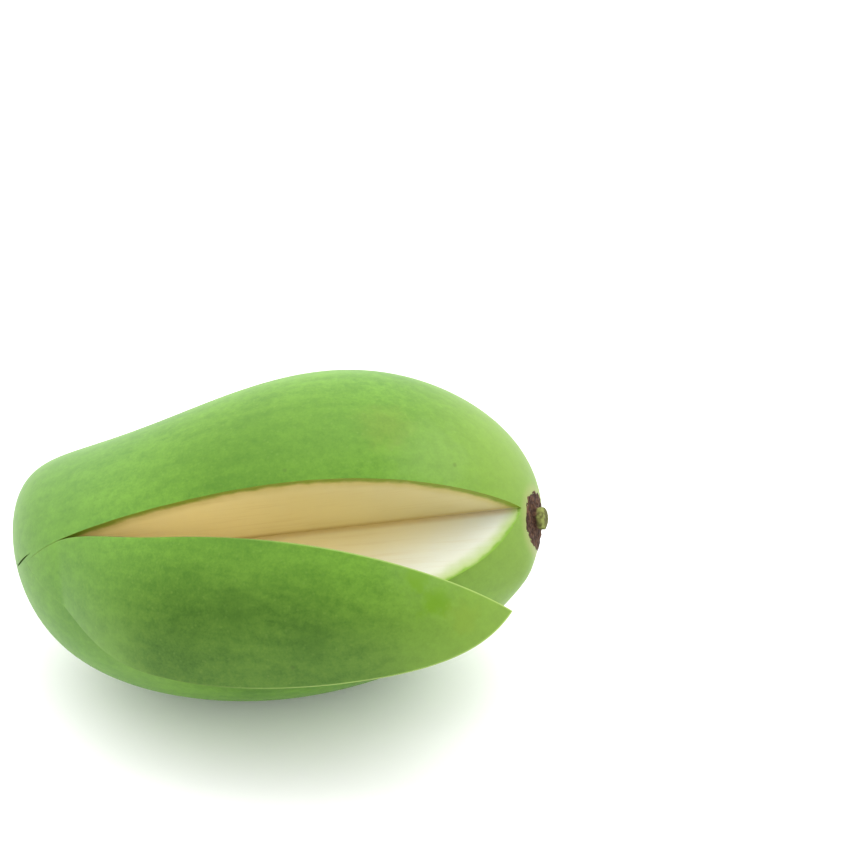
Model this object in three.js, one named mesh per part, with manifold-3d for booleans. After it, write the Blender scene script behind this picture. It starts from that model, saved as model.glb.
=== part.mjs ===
// A green mango that lies on its cheek, with a long wedge cut out of its front from the stem end to
// the beak. The wedge has been laid back in its notch, swung outwards at the stem end.
// Millimetres, +Z up, +X towards the stem end, -Y towards the notch. The origin is on the ground
// under the middle of the whole.

import * as THREE from 'three';
import { mergeVertices } from 'three/addons/utils/BufferGeometryUtils.js';
import Module from 'manifold-3d';

const wasm = await Module();
wasm.setup();

// The fruit. Every section across its length is an ellipse. Its half width, its half thickness and
// the height of its centre are short cosine series of the angle from the stem end (0 degrees) to
// the beak (180 degrees). The half width and half thickness are also multiplied by the angle's sine.
const LENGTH = 140;
const WIDTH_TERMS = [44.8, 0, 5.2, -1.4, 1.5];   // size, stem half against beak half, blunt ends, ...
const THICKNESS_TERMS = [39.8, 1.8, -1.2, -2.9];
const BOW_TERMS = [0, 0, 3.5, -3.4, 0.7];        // the beak and the stem end curve to the inner side
const STEPS_AROUND = 64;
const STEPS_ALONG = 40;

// How the fruit lies: rolled so that its inner side is a little raised, with the stem end raised
// and turned slightly to the front.
const ROLL = 18;
const STEM_END_UP = 7.2;
const STEM_END_FORWARD = 3;
const FLAT_DEPTH = 0.6;                          // taken off the lowest point, for the fruit to rest on

// The notch. Two flat knife cuts meet on a straight line inside the fruit.
const NOTCH_LINE = { y: -13.7, z: 8.4, rise: 7.6 };   // through x = 0, rising towards the stem end
const UPPER_CUT = 60.5;                          // degrees above the horizontal, towards the front
const LOWER_CUT = 17.5;                          // degrees below the horizontal, towards the front
const KNIFE_REACH = 90;                          // further than any skin from the line
const KNIFE_RUN = 200;                           // longer than the fruit

// The slice. It lies on the lower cut, turned about a point near the beak. There the flesh gives:
// left of the closed end of the bend the slice still sits in its place.
const KERF = 0.3;                                // left free between the slice and the fruit
const SWING = 14.7;
const SWING_X = -61.2;
const BEND = { closed: -57, open: -28 };         // along the notch's line, from its middle

// The slit that the knife left past the tip of the slice, at the beak.
const SLIT = { width: 0.8, depth: 2.6, fromX: -63.5, length: 14 };

// The stub of the stalk with its corky collar, in a shallow socket at the stem end.
const STUB = { fromPole: 7.5, side: 150, radius: 3.1, height: 2.4 };
const COLLAR = { radius: 7.5, sunk: 3.2, rimDrop: 1.5, shoulderDrop: 0.7, crownDrop: 0.1 };
const SOCKET_GAP = 0.3;
const STUB_SIDES = 28;

const rad = THREE.MathUtils.degToRad;

const SKIN = new THREE.MeshStandardMaterial({ color: 0x86b95a, roughness: 0.48, metalness: 0 });
const CORK = new THREE.MeshStandardMaterial({ color: 0x5d4233, roughness: 0.9, metalness: 0 });

function series(terms, angle) {
  return terms.reduce((sum, term, k) => sum + term * Math.cos(k * angle), 0);
}

// A point of the unit sphere, its pole on +Y, goes to its place on the skin: along X by its height,
// and across by the series.
function skinPoint(onSphere) {
  const angle = Math.acos(THREE.MathUtils.clamp(onSphere.y, -1, 1));
  return new THREE.Vector3(
    (LENGTH / 2) * onSphere.y,
    series(BOW_TERMS, angle) + series(WIDTH_TERMS, angle) * onSphere.z,
    series(THICKNESS_TERMS, angle) * onSphere.x
  );
}

function lyingDown() {
  const turn = new THREE.Euler(rad(ROLL), -rad(STEM_END_UP), -rad(STEM_END_FORWARD), 'ZYX');
  return new THREE.Matrix4().makeRotationFromEuler(turn);
}

function toSolid(geometry) {
  const plain = geometry.index ? geometry.toNonIndexed() : geometry.clone();
  plain.deleteAttribute('normal');
  plain.deleteAttribute('uv');
  const merged = mergeVertices(plain, 1e-4);
  return new wasm.Manifold(new wasm.Mesh({
    numProp: 3,
    vertProperties: new Float32Array(merged.attributes.position.array),
    triVerts: new Uint32Array(merged.index.array)
  }));
}

function toMesh(solid, name, material) {
  const { vertProperties, triVerts, numProp } = solid.getMesh();
  const positions = new Float32Array((vertProperties.length / numProp) * 3);
  for (let i = 0; i < positions.length / 3; i += 1) {
    for (let k = 0; k < 3; k += 1) positions[3 * i + k] = vertProperties[numProp * i + k];
  }
  const geometry = new THREE.BufferGeometry();
  geometry.setAttribute('position', new THREE.BufferAttribute(positions, 3));
  geometry.setIndex(new THREE.BufferAttribute(new Uint32Array(triVerts), 1));
  geometry.computeVertexNormals();
  const mesh = new THREE.Mesh(geometry, material);
  mesh.name = name;
  return mesh;
}

// The whole fruit, uncut.
function wholeFruit() {
  const geometry = new THREE.SphereGeometry(1, STEPS_AROUND, STEPS_ALONG);
  const position = geometry.attributes.position;
  const point = new THREE.Vector3();
  for (let i = 0; i < position.count; i += 1) {
    const skin = skinPoint(point.fromBufferAttribute(position, i));
    position.setXYZ(i, skin.x, skin.y, skin.z);
  }
  return geometry.applyMatrix4(lyingDown());
}

// The directions at the notch: along its line to the stem end, out to the front, and up.
function notchFrame() {
  const along = new THREE.Vector3(Math.cos(rad(NOTCH_LINE.rise)), 0, Math.sin(rad(NOTCH_LINE.rise)));
  const out = new THREE.Vector3(0, -1, 0);
  const up = new THREE.Vector3().crossVectors(out, along);
  const origin = new THREE.Vector3(0, NOTCH_LINE.y, NOTCH_LINE.z);
  return { along, out, up, origin };
}

// The space between two cuts that meet on the notch's line, from one slope to the other, with both
// faces moved in by an inset.
function wedge(fromSlope, toSlope, inset) {
  const { along, out, up, origin } = notchFrame();
  const middle = rad((fromSlope + toSlope) / 2);
  const back = inset / Math.sin(rad((toSlope - fromSlope) / 2));
  const corner = new THREE.Vector2(back * Math.cos(middle), back * Math.sin(middle));
  const reach = (slope) => corner.clone().add(
    new THREE.Vector2(Math.cos(rad(slope)), Math.sin(rad(slope))).multiplyScalar(KNIFE_REACH)
  );
  const outline = new THREE.Shape([corner, reach(fromSlope), reach(toSlope)]);
  const geometry = new THREE.ExtrudeGeometry(outline, { depth: KNIFE_RUN, bevelEnabled: false });
  const frame = new THREE.Matrix4().makeBasis(out, up, along.clone().negate());
  frame.setPosition(origin.clone().addScaledVector(along, KNIFE_RUN / 2));
  return geometry.applyMatrix4(frame);
}

// The turn that swings the slice outwards on the lower cut.
function swing() {
  const { along, out, up, origin } = notchFrame();
  const slope = rad(LOWER_CUT);
  const normal = out.clone().multiplyScalar(Math.sin(slope)).addScaledVector(up, Math.cos(slope));
  const pivot = origin.clone().addScaledVector(along, SWING_X / along.x);
  return new THREE.Matrix4().makeTranslation(pivot)
    .multiply(new THREE.Matrix4().makeRotationAxis(normal, -rad(SWING)))
    .multiply(new THREE.Matrix4().makeTranslation(pivot.clone().negate()));
}

// Takes a point of the slice from the closed notch to where it lies now. The swing is complete
// beyond the bend, and fades out through it towards the beak.
function openSlice() {
  const { along, origin } = notchFrame();
  const turn = swing();
  return (vertex) => {
    const shut = new THREE.Vector3(...vertex);
    const distance = shut.clone().sub(origin).dot(along);
    const closed = THREE.MathUtils.clamp((BEND.open - distance) / (BEND.open - BEND.closed), 0, 1) ** 2;
    const moved = shut.clone().applyMatrix4(turn).lerp(shut, closed);
    vertex[0] = moved.x;
    vertex[1] = moved.y;
    vertex[2] = moved.z;
  };
}

// A thin V that follows the upper cut past the tip of the slice.
function slit() {
  const { along, out, up, origin } = notchFrame();
  const start = origin.clone().addScaledVector(along, SLIT.fromX / along.x);
  const slope = rad(UPPER_CUT);
  const outwards = out.clone().multiplyScalar(Math.cos(slope)).addScaledVector(up, Math.sin(slope));
  const across = new THREE.Vector3().crossVectors(outwards, along);
  const half = SLIT.width / 2;
  const outline = new THREE.Shape([
    new THREE.Vector2(0, -SLIT.depth),
    new THREE.Vector2(half, 0),
    new THREE.Vector2(half, SLIT.length),
    new THREE.Vector2(-half, SLIT.length),
    new THREE.Vector2(-half, 0)
  ]);
  const geometry = new THREE.ExtrudeGeometry(outline, { depth: SLIT.length, bevelEnabled: false });
  const frame = new THREE.Matrix4().makeBasis(across, outwards, along.clone().negate());
  frame.setPosition(start);
  return geometry.applyMatrix4(frame);
}

// The place on the skin where the stalk stood, looking straight out of the fruit along +Z.
function stalkFrame() {
  const onSphere = (fromPole, side) => new THREE.Vector3(
    Math.sin(rad(fromPole)) * Math.sin(rad(side)),
    Math.cos(rad(fromPole)),
    Math.sin(rad(fromPole)) * Math.cos(rad(side))
  );
  const here = skinPoint(onSphere(STUB.fromPole, STUB.side));
  const further = skinPoint(onSphere(STUB.fromPole + 1, STUB.side)).sub(here);
  const beside = skinPoint(onSphere(STUB.fromPole, STUB.side + 5)).sub(here);
  const outwards = new THREE.Vector3().crossVectors(further, beside).normalize();
  if (outwards.x < 0) outwards.negate();
  const turn = new THREE.Quaternion().setFromUnitVectors(new THREE.Vector3(0, 0, 1), outwards);
  const frame = new THREE.Matrix4().compose(here, turn, new THREE.Vector3(1, 1, 1));
  return lyingDown().multiply(frame);
}

function turned(profile, gap) {
  const points = profile.map(([radius, height]) => new THREE.Vector2(radius, height));
  const geometry = new THREE.LatheGeometry(points, STUB_SIDES);
  geometry.rotateX(Math.PI / 2);
  geometry.translate(0, 0, -gap);
  return geometry.applyMatrix4(stalkFrame());
}

// The corky collar and the stub that stands on it, turned in one.
function stemStub() {
  const crown = -COLLAR.crownDrop;
  const top = crown + STUB.height;
  return turned([
    [0, -COLLAR.sunk],
    [COLLAR.radius - 0.6, -COLLAR.sunk],
    [COLLAR.radius, -COLLAR.rimDrop - 0.4],
    [COLLAR.radius - 0.3, -COLLAR.rimDrop + 0.2],
    [COLLAR.radius * 0.75, -COLLAR.shoulderDrop],
    [STUB.radius + 0.5, crown],
    [STUB.radius, crown + 0.5],
    [STUB.radius * 0.93, top - 0.8],
    [STUB.radius * 0.65, top - 0.1],
    [0, top]
  ], 0);
}

function socket() {
  return turned([
    [0, -COLLAR.sunk],
    [COLLAR.radius + SOCKET_GAP, -COLLAR.sunk],
    [COLLAR.radius + SOCKET_GAP, 8],
    [0, 8]
  ], SOCKET_GAP);
}

// The largest of the bodies that a cut leaves. The others are crumbs.
function largest(solid) {
  return solid.decompose().sort((a, b) => b.volume() - a.volume())[0];
}

// Everything under the height of the flat spot.
function ground(fruit) {
  fruit.computeBoundingBox();
  const top = fruit.boundingBox.min.z + FLAT_DEPTH;
  const thickness = 20;
  return new THREE.BoxGeometry(KNIFE_RUN, KNIFE_RUN, thickness).translate(0, 0, top - thickness / 2);
}

const fruit = wholeFruit();
const fruitSolid = toSolid(fruit).subtract(toSolid(ground(fruit)));
const body = largest(fruitSolid
  .subtract(toSolid(wedge(-LOWER_CUT, UPPER_CUT, 0)))
  .subtract(toSolid(slit()))
  .subtract(toSolid(socket())));

const inNotch = fruitSolid.intersect(toSolid(wedge(-LOWER_CUT, UPPER_CUT, KERF)));
const clearOfFruit = toSolid(wedge(-LOWER_CUT - 40, UPPER_CUT, KERF));
const slice = largest(inNotch.warp(openSlice()).intersect(clearOfFruit));

const mango = new THREE.Group();
mango.add(toMesh(body, 'mango_body', SKIN));
mango.add(toMesh(slice, 'cut_slice', SKIN));
mango.add(toMesh(toSolid(stemStub()), 'stem_stub', CORK));

// The whole stands on z = 0, with its box centred on the origin.
const box = new THREE.Box3().setFromObject(mango, true);
const centre = box.getCenter(new THREE.Vector3());
mango.position.set(-centre.x, -centre.y, -box.min.z);

export default mango;
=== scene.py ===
# %% [markdown]
# # A green mango with a wedge cut out of it
#
# The fruit lies on its side. Two long cuts run from the stem end to the beak, and the wedge between
# them lies back in its place, swung open like a door. This lesson builds the fruit from one rule,
# cuts it with two flat blades, and then gives skin, flesh and stalk their finishes.
#
# Everything is in metres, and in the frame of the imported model: +X runs towards the stem end,
# +Z is up, and the notch faces -Y.

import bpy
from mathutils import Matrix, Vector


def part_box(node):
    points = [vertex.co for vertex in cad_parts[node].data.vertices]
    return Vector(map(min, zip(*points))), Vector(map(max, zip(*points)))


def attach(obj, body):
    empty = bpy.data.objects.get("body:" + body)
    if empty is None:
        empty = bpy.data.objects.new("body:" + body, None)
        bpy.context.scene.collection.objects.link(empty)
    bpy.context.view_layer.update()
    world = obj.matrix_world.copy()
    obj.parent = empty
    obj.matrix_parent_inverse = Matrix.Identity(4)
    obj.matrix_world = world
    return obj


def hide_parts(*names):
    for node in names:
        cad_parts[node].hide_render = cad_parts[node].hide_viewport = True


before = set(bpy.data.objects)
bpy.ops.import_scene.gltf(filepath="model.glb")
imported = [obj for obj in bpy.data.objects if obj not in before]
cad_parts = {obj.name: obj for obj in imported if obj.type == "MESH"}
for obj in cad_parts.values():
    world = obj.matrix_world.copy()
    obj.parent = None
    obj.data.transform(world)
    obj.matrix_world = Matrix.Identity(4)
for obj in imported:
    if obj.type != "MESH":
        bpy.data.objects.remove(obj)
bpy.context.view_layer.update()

# %% [markdown]
# ## The measures
#
# A mango has no straight line on it, but its shape still follows a rule. Think of a ball whose
# pole is the stem end. Stretch it along the pole, and let each ring round it become an ellipse.
# The size of that ellipse, and how far its middle sits off the axis, change smoothly from pole to
# pole. A few cosine waves describe such a change well: the first number of each list is the whole
# size, and each later one adds a slower or faster wave along the fruit.

# %% The driving dimensions
import math

import bmesh
import bpy
import numpy as np
from mathutils import Euler, Matrix, Vector

MM = 0.001

LENGTH = 140 * MM
HALF_WIDTH = {"whole": 44.8 * MM, "ends": 5.2 * MM, "third wave": -1.4 * MM, "fourth wave": 1.5 * MM}
HALF_THICKNESS = {"whole": 39.8 * MM, "stem half": 1.8 * MM, "ends": -1.2 * MM, "third wave": -2.9 * MM}
BOW = {"ends": 3.5 * MM, "third wave": -3.4 * MM, "fourth wave": 0.7 * MM}
WAVES = {"whole": 0, "stem half": 1, "ends": 2, "third wave": 3, "fourth wave": 4}

ROLL = math.radians(18)
STEM_END_UP = math.radians(7.2)
STEM_END_FORWARD = math.radians(3)
LYING = Euler((ROLL, -STEM_END_UP, -STEM_END_FORWARD), "XYZ")

NOTCH_RISE = math.radians(7.6)
UPPER_CUT = math.radians(60.5)
LOWER_CUT = math.radians(17.5)
KERF = 0.05 * MM
SWING = math.radians(14.7)
SWING_X = -61.2 * MM
BEND = {"closed": -53 * MM, "open": -20 * MM, "fall-off": 2.5}
FLAT_DEPTH = 0.6 * MM


def series(terms, angle):
    return sum(size * np.cos(WAVES[name] * angle) for name, size in terms.items())


# %% [markdown]
# ## Small helpers for node trees
#
# Both geometry and materials are built from nodes here. These helpers keep the later cells
# short: one adds a node and fills its sockets, and the others wrap the nodes used most.


# %% Helpers for nodes
def add_node(tree, kind, inputs=None, **settings):
    """Adds a node. An input's value is a number, a vector, a colour or another node's socket."""
    node = tree.nodes.new(kind)
    for name, value in settings.items():
        setattr(node, name, value)
    for key, value in (inputs or {}).items():
        if isinstance(value, bpy.types.NodeSocket):
            tree.links.new(value, node.inputs[key])
        else:
            node.inputs[key].default_value = value
    return node


def calculate(tree, operation, first, second=None, third=None, clamp=False):
    values = {k: v for k, v in enumerate((first, second, third)) if v is not None}
    return add_node(tree, "ShaderNodeMath", values, operation=operation, use_clamp=clamp).outputs[0]


def paint(red, green, blue):
    """A screen colour, 0 to 255, as the linear colour that a shader works with."""
    steps = [c / 255 for c in (red, green, blue)]
    linear = [c / 12.92 if c <= 0.04045 else ((c + 0.055) / 1.055) ** 2.4 for c in steps]
    return (*linear, 1.0)


def blend(tree, share, under, over):
    node = add_node(tree, "ShaderNodeMix", {0: share, 6: under, 7: over}, data_type="RGBA")
    return node.outputs[2]


def ease(tree, value, start, end, low=0.0, high=1.0):
    """Goes smoothly from low to high while the value goes from start to end."""
    inputs = {"Value": value, "From Min": start, "From Max": end, "To Min": low, "To Max": high}
    return add_node(tree, "ShaderNodeMapRange", inputs, interpolation_type="SMOOTHSTEP").outputs[0]


def end_tree(tree, geometry, material):
    """Ends a tree with plain geometry that has its material."""
    real = add_node(tree, "GeometryNodeRealizeInstances", {0: geometry})
    painted = {"Geometry": real.outputs[0], "Material": material}
    done = add_node(tree, "GeometryNodeSetMaterial", painted)
    out = add_node(tree, "NodeGroupOutput")
    tree.links.new(done.outputs[0], out.inputs[0])
    return tree


# %% [markdown]
# ## The whole fruit, from its rule
#
# On the real mango the skin is one smooth sheet that thickens towards the shoulders at the stem
# and narrows, with a slight hollow on its inner side, towards the beak. It could be sculpted, or
# lofted through drawn sections. A Geometry Nodes tree that moves every point of a ball by the
# rule is better here: it stays exactly as smooth as the rule, its sizes are inputs that can be
# changed, and the pieces of the solid model follow the same numbers.


# %% A tree that turns a ball into the fruit
BALL_STEPS = {"Steps around": 288, "Steps along": 200}


def series_socket(tree, group_in, label, terms, angle):
    """Adds up the cosine waves of one list, each with its own named input."""
    total = None
    for name in terms:
        size = group_in.outputs[f"{label}, {name}"]
        wave = calculate(tree, "COSINE", calculate(tree, "MULTIPLY", angle, float(WAVES[name])))
        part = calculate(tree, "MULTIPLY", size, wave)
        total = part if total is None else calculate(tree, "ADD", total, part)
    return total


def fruit_tree(material):
    tree = bpy.data.node_groups.new("fruit form", "GeometryNodeTree")
    face = tree.interface
    sizes = {"Length": LENGTH}
    for label, terms in (("Width", HALF_WIDTH), ("Thickness", HALF_THICKNESS), ("Bow", BOW)):
        sizes.update({f"{label}, {name}": size for name, size in terms.items()})
    for name, size in sizes.items():
        socket = face.new_socket(name, in_out="INPUT", socket_type="NodeSocketFloat")
        socket.default_value = size
    for name, count in BALL_STEPS.items():
        socket = face.new_socket(name, in_out="INPUT", socket_type="NodeSocketInt")
        socket.default_value = count
    face.new_socket("Fruit", in_out="OUTPUT", socket_type="NodeSocketGeometry")

    given = add_node(tree, "NodeGroupInput")
    steps = {"Segments": given.outputs["Steps around"], "Rings": given.outputs["Steps along"]}
    ball = add_node(tree, "GeometryNodeMeshUVSphere", {**steps, "Radius": 1.0})
    position = add_node(tree, "GeometryNodeInputPosition").outputs[0]
    place = add_node(tree, "ShaderNodeSeparateXYZ", {0: position})
    height = calculate(tree, "MINIMUM", calculate(tree, "MAXIMUM", place.outputs["Z"], -1.0), 1.0)
    angle = calculate(tree, "ARCCOSINE", height)
    along = calculate(tree, "MULTIPLY", height, calculate(tree, "MULTIPLY", given.outputs["Length"], 0.5))
    width = series_socket(tree, given, "Width", HALF_WIDTH, angle)
    thickness = series_socket(tree, given, "Thickness", HALF_THICKNESS, angle)
    bow = series_socket(tree, given, "Bow", BOW, angle)
    across = calculate(tree, "ADD", bow, calculate(tree, "MULTIPLY", width, place.outputs["X"]))
    deep = calculate(tree, "MULTIPLY", thickness, place.outputs["Y"])
    moved = add_node(tree, "ShaderNodeCombineXYZ", {0: along, 1: across, 2: deep})
    stretched = {"Geometry": ball.outputs[0], "Position": moved.outputs[0]}
    skin = add_node(tree, "GeometryNodeSetPosition", stretched)
    laid = add_node(tree, "GeometryNodeTransform", {"Geometry": skin.outputs[0], "Rotation": LYING})
    return end_tree(tree, laid.outputs[0], material)


# %% [markdown]
# ## From modifiers to a plain mesh
#
# A modifier only describes a shape. Before a piece is cut, measured or handed over, its result is
# turned into a real mesh and the modifier is taken off. These helpers do that. They also read a
# mesh's points into one table, so that later cells can move or measure all of them at once.


# %% Helpers for meshes
def link(name, data):
    """Puts a mesh, a camera or a light into the scene."""
    piece = bpy.data.objects.new(name, data)
    bpy.context.scene.collection.objects.link(piece)
    return piece


def apply_modifiers(piece):
    bpy.context.view_layer.update()
    evaluated = piece.evaluated_get(bpy.context.evaluated_depsgraph_get())
    mesh = bpy.data.meshes.new_from_object(evaluated)
    piece.modifiers.clear()
    old = piece.data
    piece.data = mesh
    bpy.data.meshes.remove(old)
    return piece


def smooth_all(mesh):
    mesh.polygons.foreach_set("use_smooth", np.ones(len(mesh.polygons), dtype=bool))


def points_of(mesh):
    flat = np.zeros(len(mesh.vertices) * 3)
    mesh.vertices.foreach_get("co", flat)
    return flat.reshape(-1, 3)


def through(matrix, points):
    """A table of points after a move or a turn that is given as a matrix."""
    rows = np.array(matrix)
    return points @ rows[:3, :3].T + rows[:3, 3]


# %% [markdown]
# ## Grow the fruit and lay it down
#
# A mango lies on its cheek, tipped a little, and its skin is pressed flat where it touches the
# table. The tree has already turned the fruit. Here it is moved to where the solid model lies, and
# the points that would be under the table are raised to it, which makes the flat spot.

# %% Grow the fruit and set it on the ground
skin_material = bpy.data.materials.new("mango_skin")
flesh_material = bpy.data.materials.new("mango_flesh")

fruit = link("whole_fruit", bpy.data.meshes.new("whole_fruit"))
form = fruit.modifiers.new("form", "NODES")
form.node_group = fruit_tree(skin_material)
apply_modifiers(fruit)

body_low, body_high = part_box("mango_body")
lying_points = points_of(fruit.data)
SHIFT = Vector((
    body_low.x - lying_points[:, 0].min(),
    body_high.y - lying_points[:, 1].max(),
    -(lying_points[:, 2].min() + FLAT_DEPTH),
))
fruit.data.transform(Matrix.Translation(SHIFT))
for vertex in fruit.data.vertices:
    vertex.co.z = max(vertex.co.z, 0.0)
print("whole fruit:", len(fruit.data.polygons), "faces, moved by", [round(1000 * c, 2) for c in SHIFT])


def on_fruit(spot):
    """A spot given in millimetres in the fruit's own frame, where it lies now."""
    return LYING.to_matrix() @ (Vector(spot) * MM) + SHIFT


def in_fruit(points):
    """A table of points in the fruit's own frame: X along it from its middle, Y and Z across."""
    return (points - np.array(SHIFT)) @ np.array(LYING.to_matrix())


# %% [markdown]
# ## The camera
#
# The picture was taken from in front and well above, with a long lens, so the fruit shows almost
# no perspective. The camera is set by four plain facts: how steeply it looks down, how far away
# it is, what it aims at and the length of its lens.

# %% Set the camera
VIEW_DOWN = math.radians(32)
DISTANCE = 0.70
AIM = Vector((39.2, 14.85, 23.75)) * MM + SHIFT
LENS = 113.7

camera_data = bpy.data.cameras.new("camera")
camera_data.lens = LENS
camera = link("camera", camera_data)
looking = Vector((0, math.cos(VIEW_DOWN), -math.sin(VIEW_DOWN)))
camera.location = AIM - DISTANCE * looking
camera.rotation_euler = (math.radians(90) - VIEW_DOWN, 0, 0)
bpy.context.scene.camera = camera
print("camera height above the floor:", round(camera.location.z, 3), "m")

# %% [markdown]
# ## The seat of the stalk
#
# The stalk stood a little to one side of the pole. Two angles say where: how far from the pole,
# and on which side of it. The rule of the skin then gives the point, and two short steps from it
# along the skin give the direction in which the stalk pointed. The scar is built there later.

# %% Where the stalk stood
STALK_FROM_POLE = math.radians(7.5)
STALK_SIDE = math.radians(150)
STEP_OUT = 0.02
STEP_ROUND = 0.1
SCAR_RADIUS = 7.7 * MM
STUB_RADIUS = 3.0 * MM
STUB_HEIGHT = 2.35 * MM
STUB_ASIDE = 0.8 * MM
PITH_DEPTH = 0.45 * MM


def skin_point(from_pole, side):
    """A point of the skin in the part's frame, by its angle from the stem pole and round it."""
    across = series(BOW, from_pole) + series(HALF_WIDTH, from_pole) * math.sin(from_pole) * math.cos(side)
    deep = series(HALF_THICKNESS, from_pole) * math.sin(from_pole) * math.sin(side)
    place = Vector((LENGTH / 2 * math.cos(from_pole), across, deep))
    return LYING.to_matrix() @ place + SHIFT


stalk_at = skin_point(STALK_FROM_POLE, STALK_SIDE)
step_out = skin_point(STALK_FROM_POLE + STEP_OUT, STALK_SIDE) - stalk_at
step_side = skin_point(STALK_FROM_POLE, STALK_SIDE + STEP_ROUND) - stalk_at
stalk_axis = step_out.cross(step_side).normalized()
if stalk_axis.x < 0:
    stalk_axis.negate()
stalk_frame = Matrix.Translation(stalk_at) @ stalk_axis.to_track_quat("Z", "Y").to_matrix().to_4x4()
print("stalk axis", [round(c, 3) for c in stalk_axis])


# %% [markdown]
# ## Press the seat flat
#
# Round the stalk the real skin is slightly flattened, like a seat. Nothing is cut away for it: the
# points near the stalk are lowered towards a plane, most in the middle and less towards the rim,
# so the skin stays smooth. Beside the seat, on the side of the notch, the shoulder of the fruit is
# a little fuller than the rule makes it, so a soft swelling is added there.

# %% Press the seat flat
SEAT_RADIUS = 9.5 * MM
SEAT = {"flat to": 4 * MM, "level": -1.5 * MM, "height kept": 0.55, "depth": 6 * MM}
SHOULDER = {"spot": (64.6, -18.0, -2.6), "rise": 1.35 * MM, "breadth": 6.8 * MM}


def press_seat(points):
    """Lowers points near the stalk towards a plane, and fills out the shoulder beside it."""
    local = through(stalk_frame.inverted(), points)
    rho = np.hypot(local[:, 0], local[:, 1])
    out = np.clip((rho - SEAT["flat to"]) / (SEAT_RADIUS - SEAT["flat to"]), 0, 1)
    keep = SEAT["height kept"] + (1 - SEAT["height kept"]) * out * out * (3 - 2 * out)
    near = (rho < SEAT_RADIUS) & (np.abs(local[:, 2]) < SEAT["depth"])
    lowered = SEAT["level"] + keep * (local[:, 2] - SEAT["level"])
    local[:, 2] = np.where(near, np.minimum(local[:, 2], lowered), local[:, 2])
    spot = np.array(stalk_frame.inverted() @ on_fruit(SHOULDER["spot"]))
    from_shoulder = np.linalg.norm(local - spot, axis=1) / SHOULDER["breadth"]
    local[:, 2] += SHOULDER["rise"] * np.exp(-from_shoulder ** 2)
    return through(stalk_frame, local)


fruit.data.vertices.foreach_set("co", press_seat(points_of(fruit.data)).ravel())
fruit.data.update()

# %% [markdown]
# ## The knife cuts
#
# Two flat cuts meet on a line inside the fruit. A blade never leaves a perfect plane in crisp
# flesh, so each cut face here is a fine grid with a very slight waviness. The wedge between the
# two grids is the tool: the fruit minus the tool is the body, and the fruit inside the tool is
# the slice. The grids stay on the cut faces, where their points later carry the flesh's colours.

# %% The cutting wedge, between two flat blades
NOTCH_AT = Vector((0, -13.7, 8.4)) * MM + SHIFT
ALONG = Vector((math.cos(NOTCH_RISE), 0, math.sin(NOTCH_RISE)))
OUT = Vector((0, -1, 0))
UP = OUT.cross(ALONG)
BLADE = {"run": 160 * MM, "reach": 62 * MM, "step": 1.3 * MM}
WIDE_BLADE = {"run": 300 * MM, "reach": 220 * MM, "step": 20 * MM}
LONG_WAVE = 0.05 * MM
SHORT_WAVE = 0.02 * MM
WAVES_FULL_AT = 4 * MM


def slope_direction(slope):
    return OUT * math.cos(slope) + UP * math.sin(slope)


def blade_waves(run, reach):
    """A few shallow waves, mostly across the blade's way. Their rates are radians to a metre."""
    long_wave = np.sin(run * 210 + 1.3 * np.sin(reach * 60)) * np.sin(reach * 95 + 0.7)
    short_wave = np.sin(run * 610 + reach * 220)
    return LONG_WAVE * long_wave + SHORT_WAVE * short_wave


def wedge(name, from_slope, to_slope, inset, size, wavy=False):
    """A closed prism between two cut faces, as a piece to cut with."""
    run_length, reach_length, step = size["run"], size["reach"], size["step"]
    middle = (from_slope + to_slope) / 2
    corner = NOTCH_AT + slope_direction(middle) * (inset / math.sin((to_slope - from_slope) / 2))
    rows = np.linspace(-run_length / 2, run_length / 2, round(run_length / step) + 1)
    reaches = np.linspace(0, reach_length, round(reach_length / step) + 1)
    run, reach = np.meshgrid(rows, reaches, indexing="ij")
    grids, faces = [], []
    count = len(reaches)
    for slope in (from_slope, to_slope):
        direction = slope_direction(slope)
        normal = direction.cross(ALONG)
        lift = (blade_waves(run, reach) if wavy else run * 0) * np.clip(reach / WAVES_FULL_AT, 0, 1)
        grid = (np.array(corner) + run[..., None] * np.array(ALONG)
                + reach[..., None] * np.array(direction) + lift[..., None] * np.array(normal))
        grids.append(grid)
    lower, upper = grids
    vertices = np.concatenate([lower.reshape(-1, 3), upper[:, 1:].reshape(-1, 3)])

    def at_lower(i, j):
        return i * count + j

    def at_upper(i, j):
        return at_lower(i, 0) if j == 0 else len(rows) * count + i * (count - 1) + j - 1

    for i in range(len(rows) - 1):
        for j in range(count - 1):
            faces.append((at_lower(i, j), at_lower(i + 1, j), at_lower(i + 1, j + 1), at_lower(i, j + 1)))
            faces.append((at_upper(i, j), at_upper(i, j + 1), at_upper(i + 1, j + 1), at_upper(i + 1, j)))
        last = count - 1
        faces.append((at_lower(i, last), at_lower(i + 1, last), at_upper(i + 1, last), at_upper(i, last)))
    for i, turn in ((0, 1), (len(rows) - 1, -1)):
        rim = [at_lower(i, j) for j in range(count)] + [at_upper(i, j) for j in range(count - 1, 0, -1)]
        faces.append(tuple(rim[::turn]))
    mesh = bpy.data.meshes.new(name)
    mesh.from_pydata(vertices.tolist(), [], faces)
    return outward(link(name, mesh))


# %% [markdown]
# ## The tip of the knife
#
# At the beak the knife ran on a little way past the slice and left a short slit in the skin. Its
# tool is a thin spindle between two spots on the skin. It is thinnest and shallowest at its two
# ends, so the slit tapers out as a real one does.


# %% The spindle that cuts the slit
SLIT = {"from": (-60.0, -12.9, 15.6), "to": (-66.5, -9.2, 5.2), "width": 0.6 * MM, "depth": 0.5 * MM}
BEAK_CORE = (-50, -1, 7)
SLIT_SHOULDER = 0.8 * MM
SLIT_TOP = 3 * MM
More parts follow.
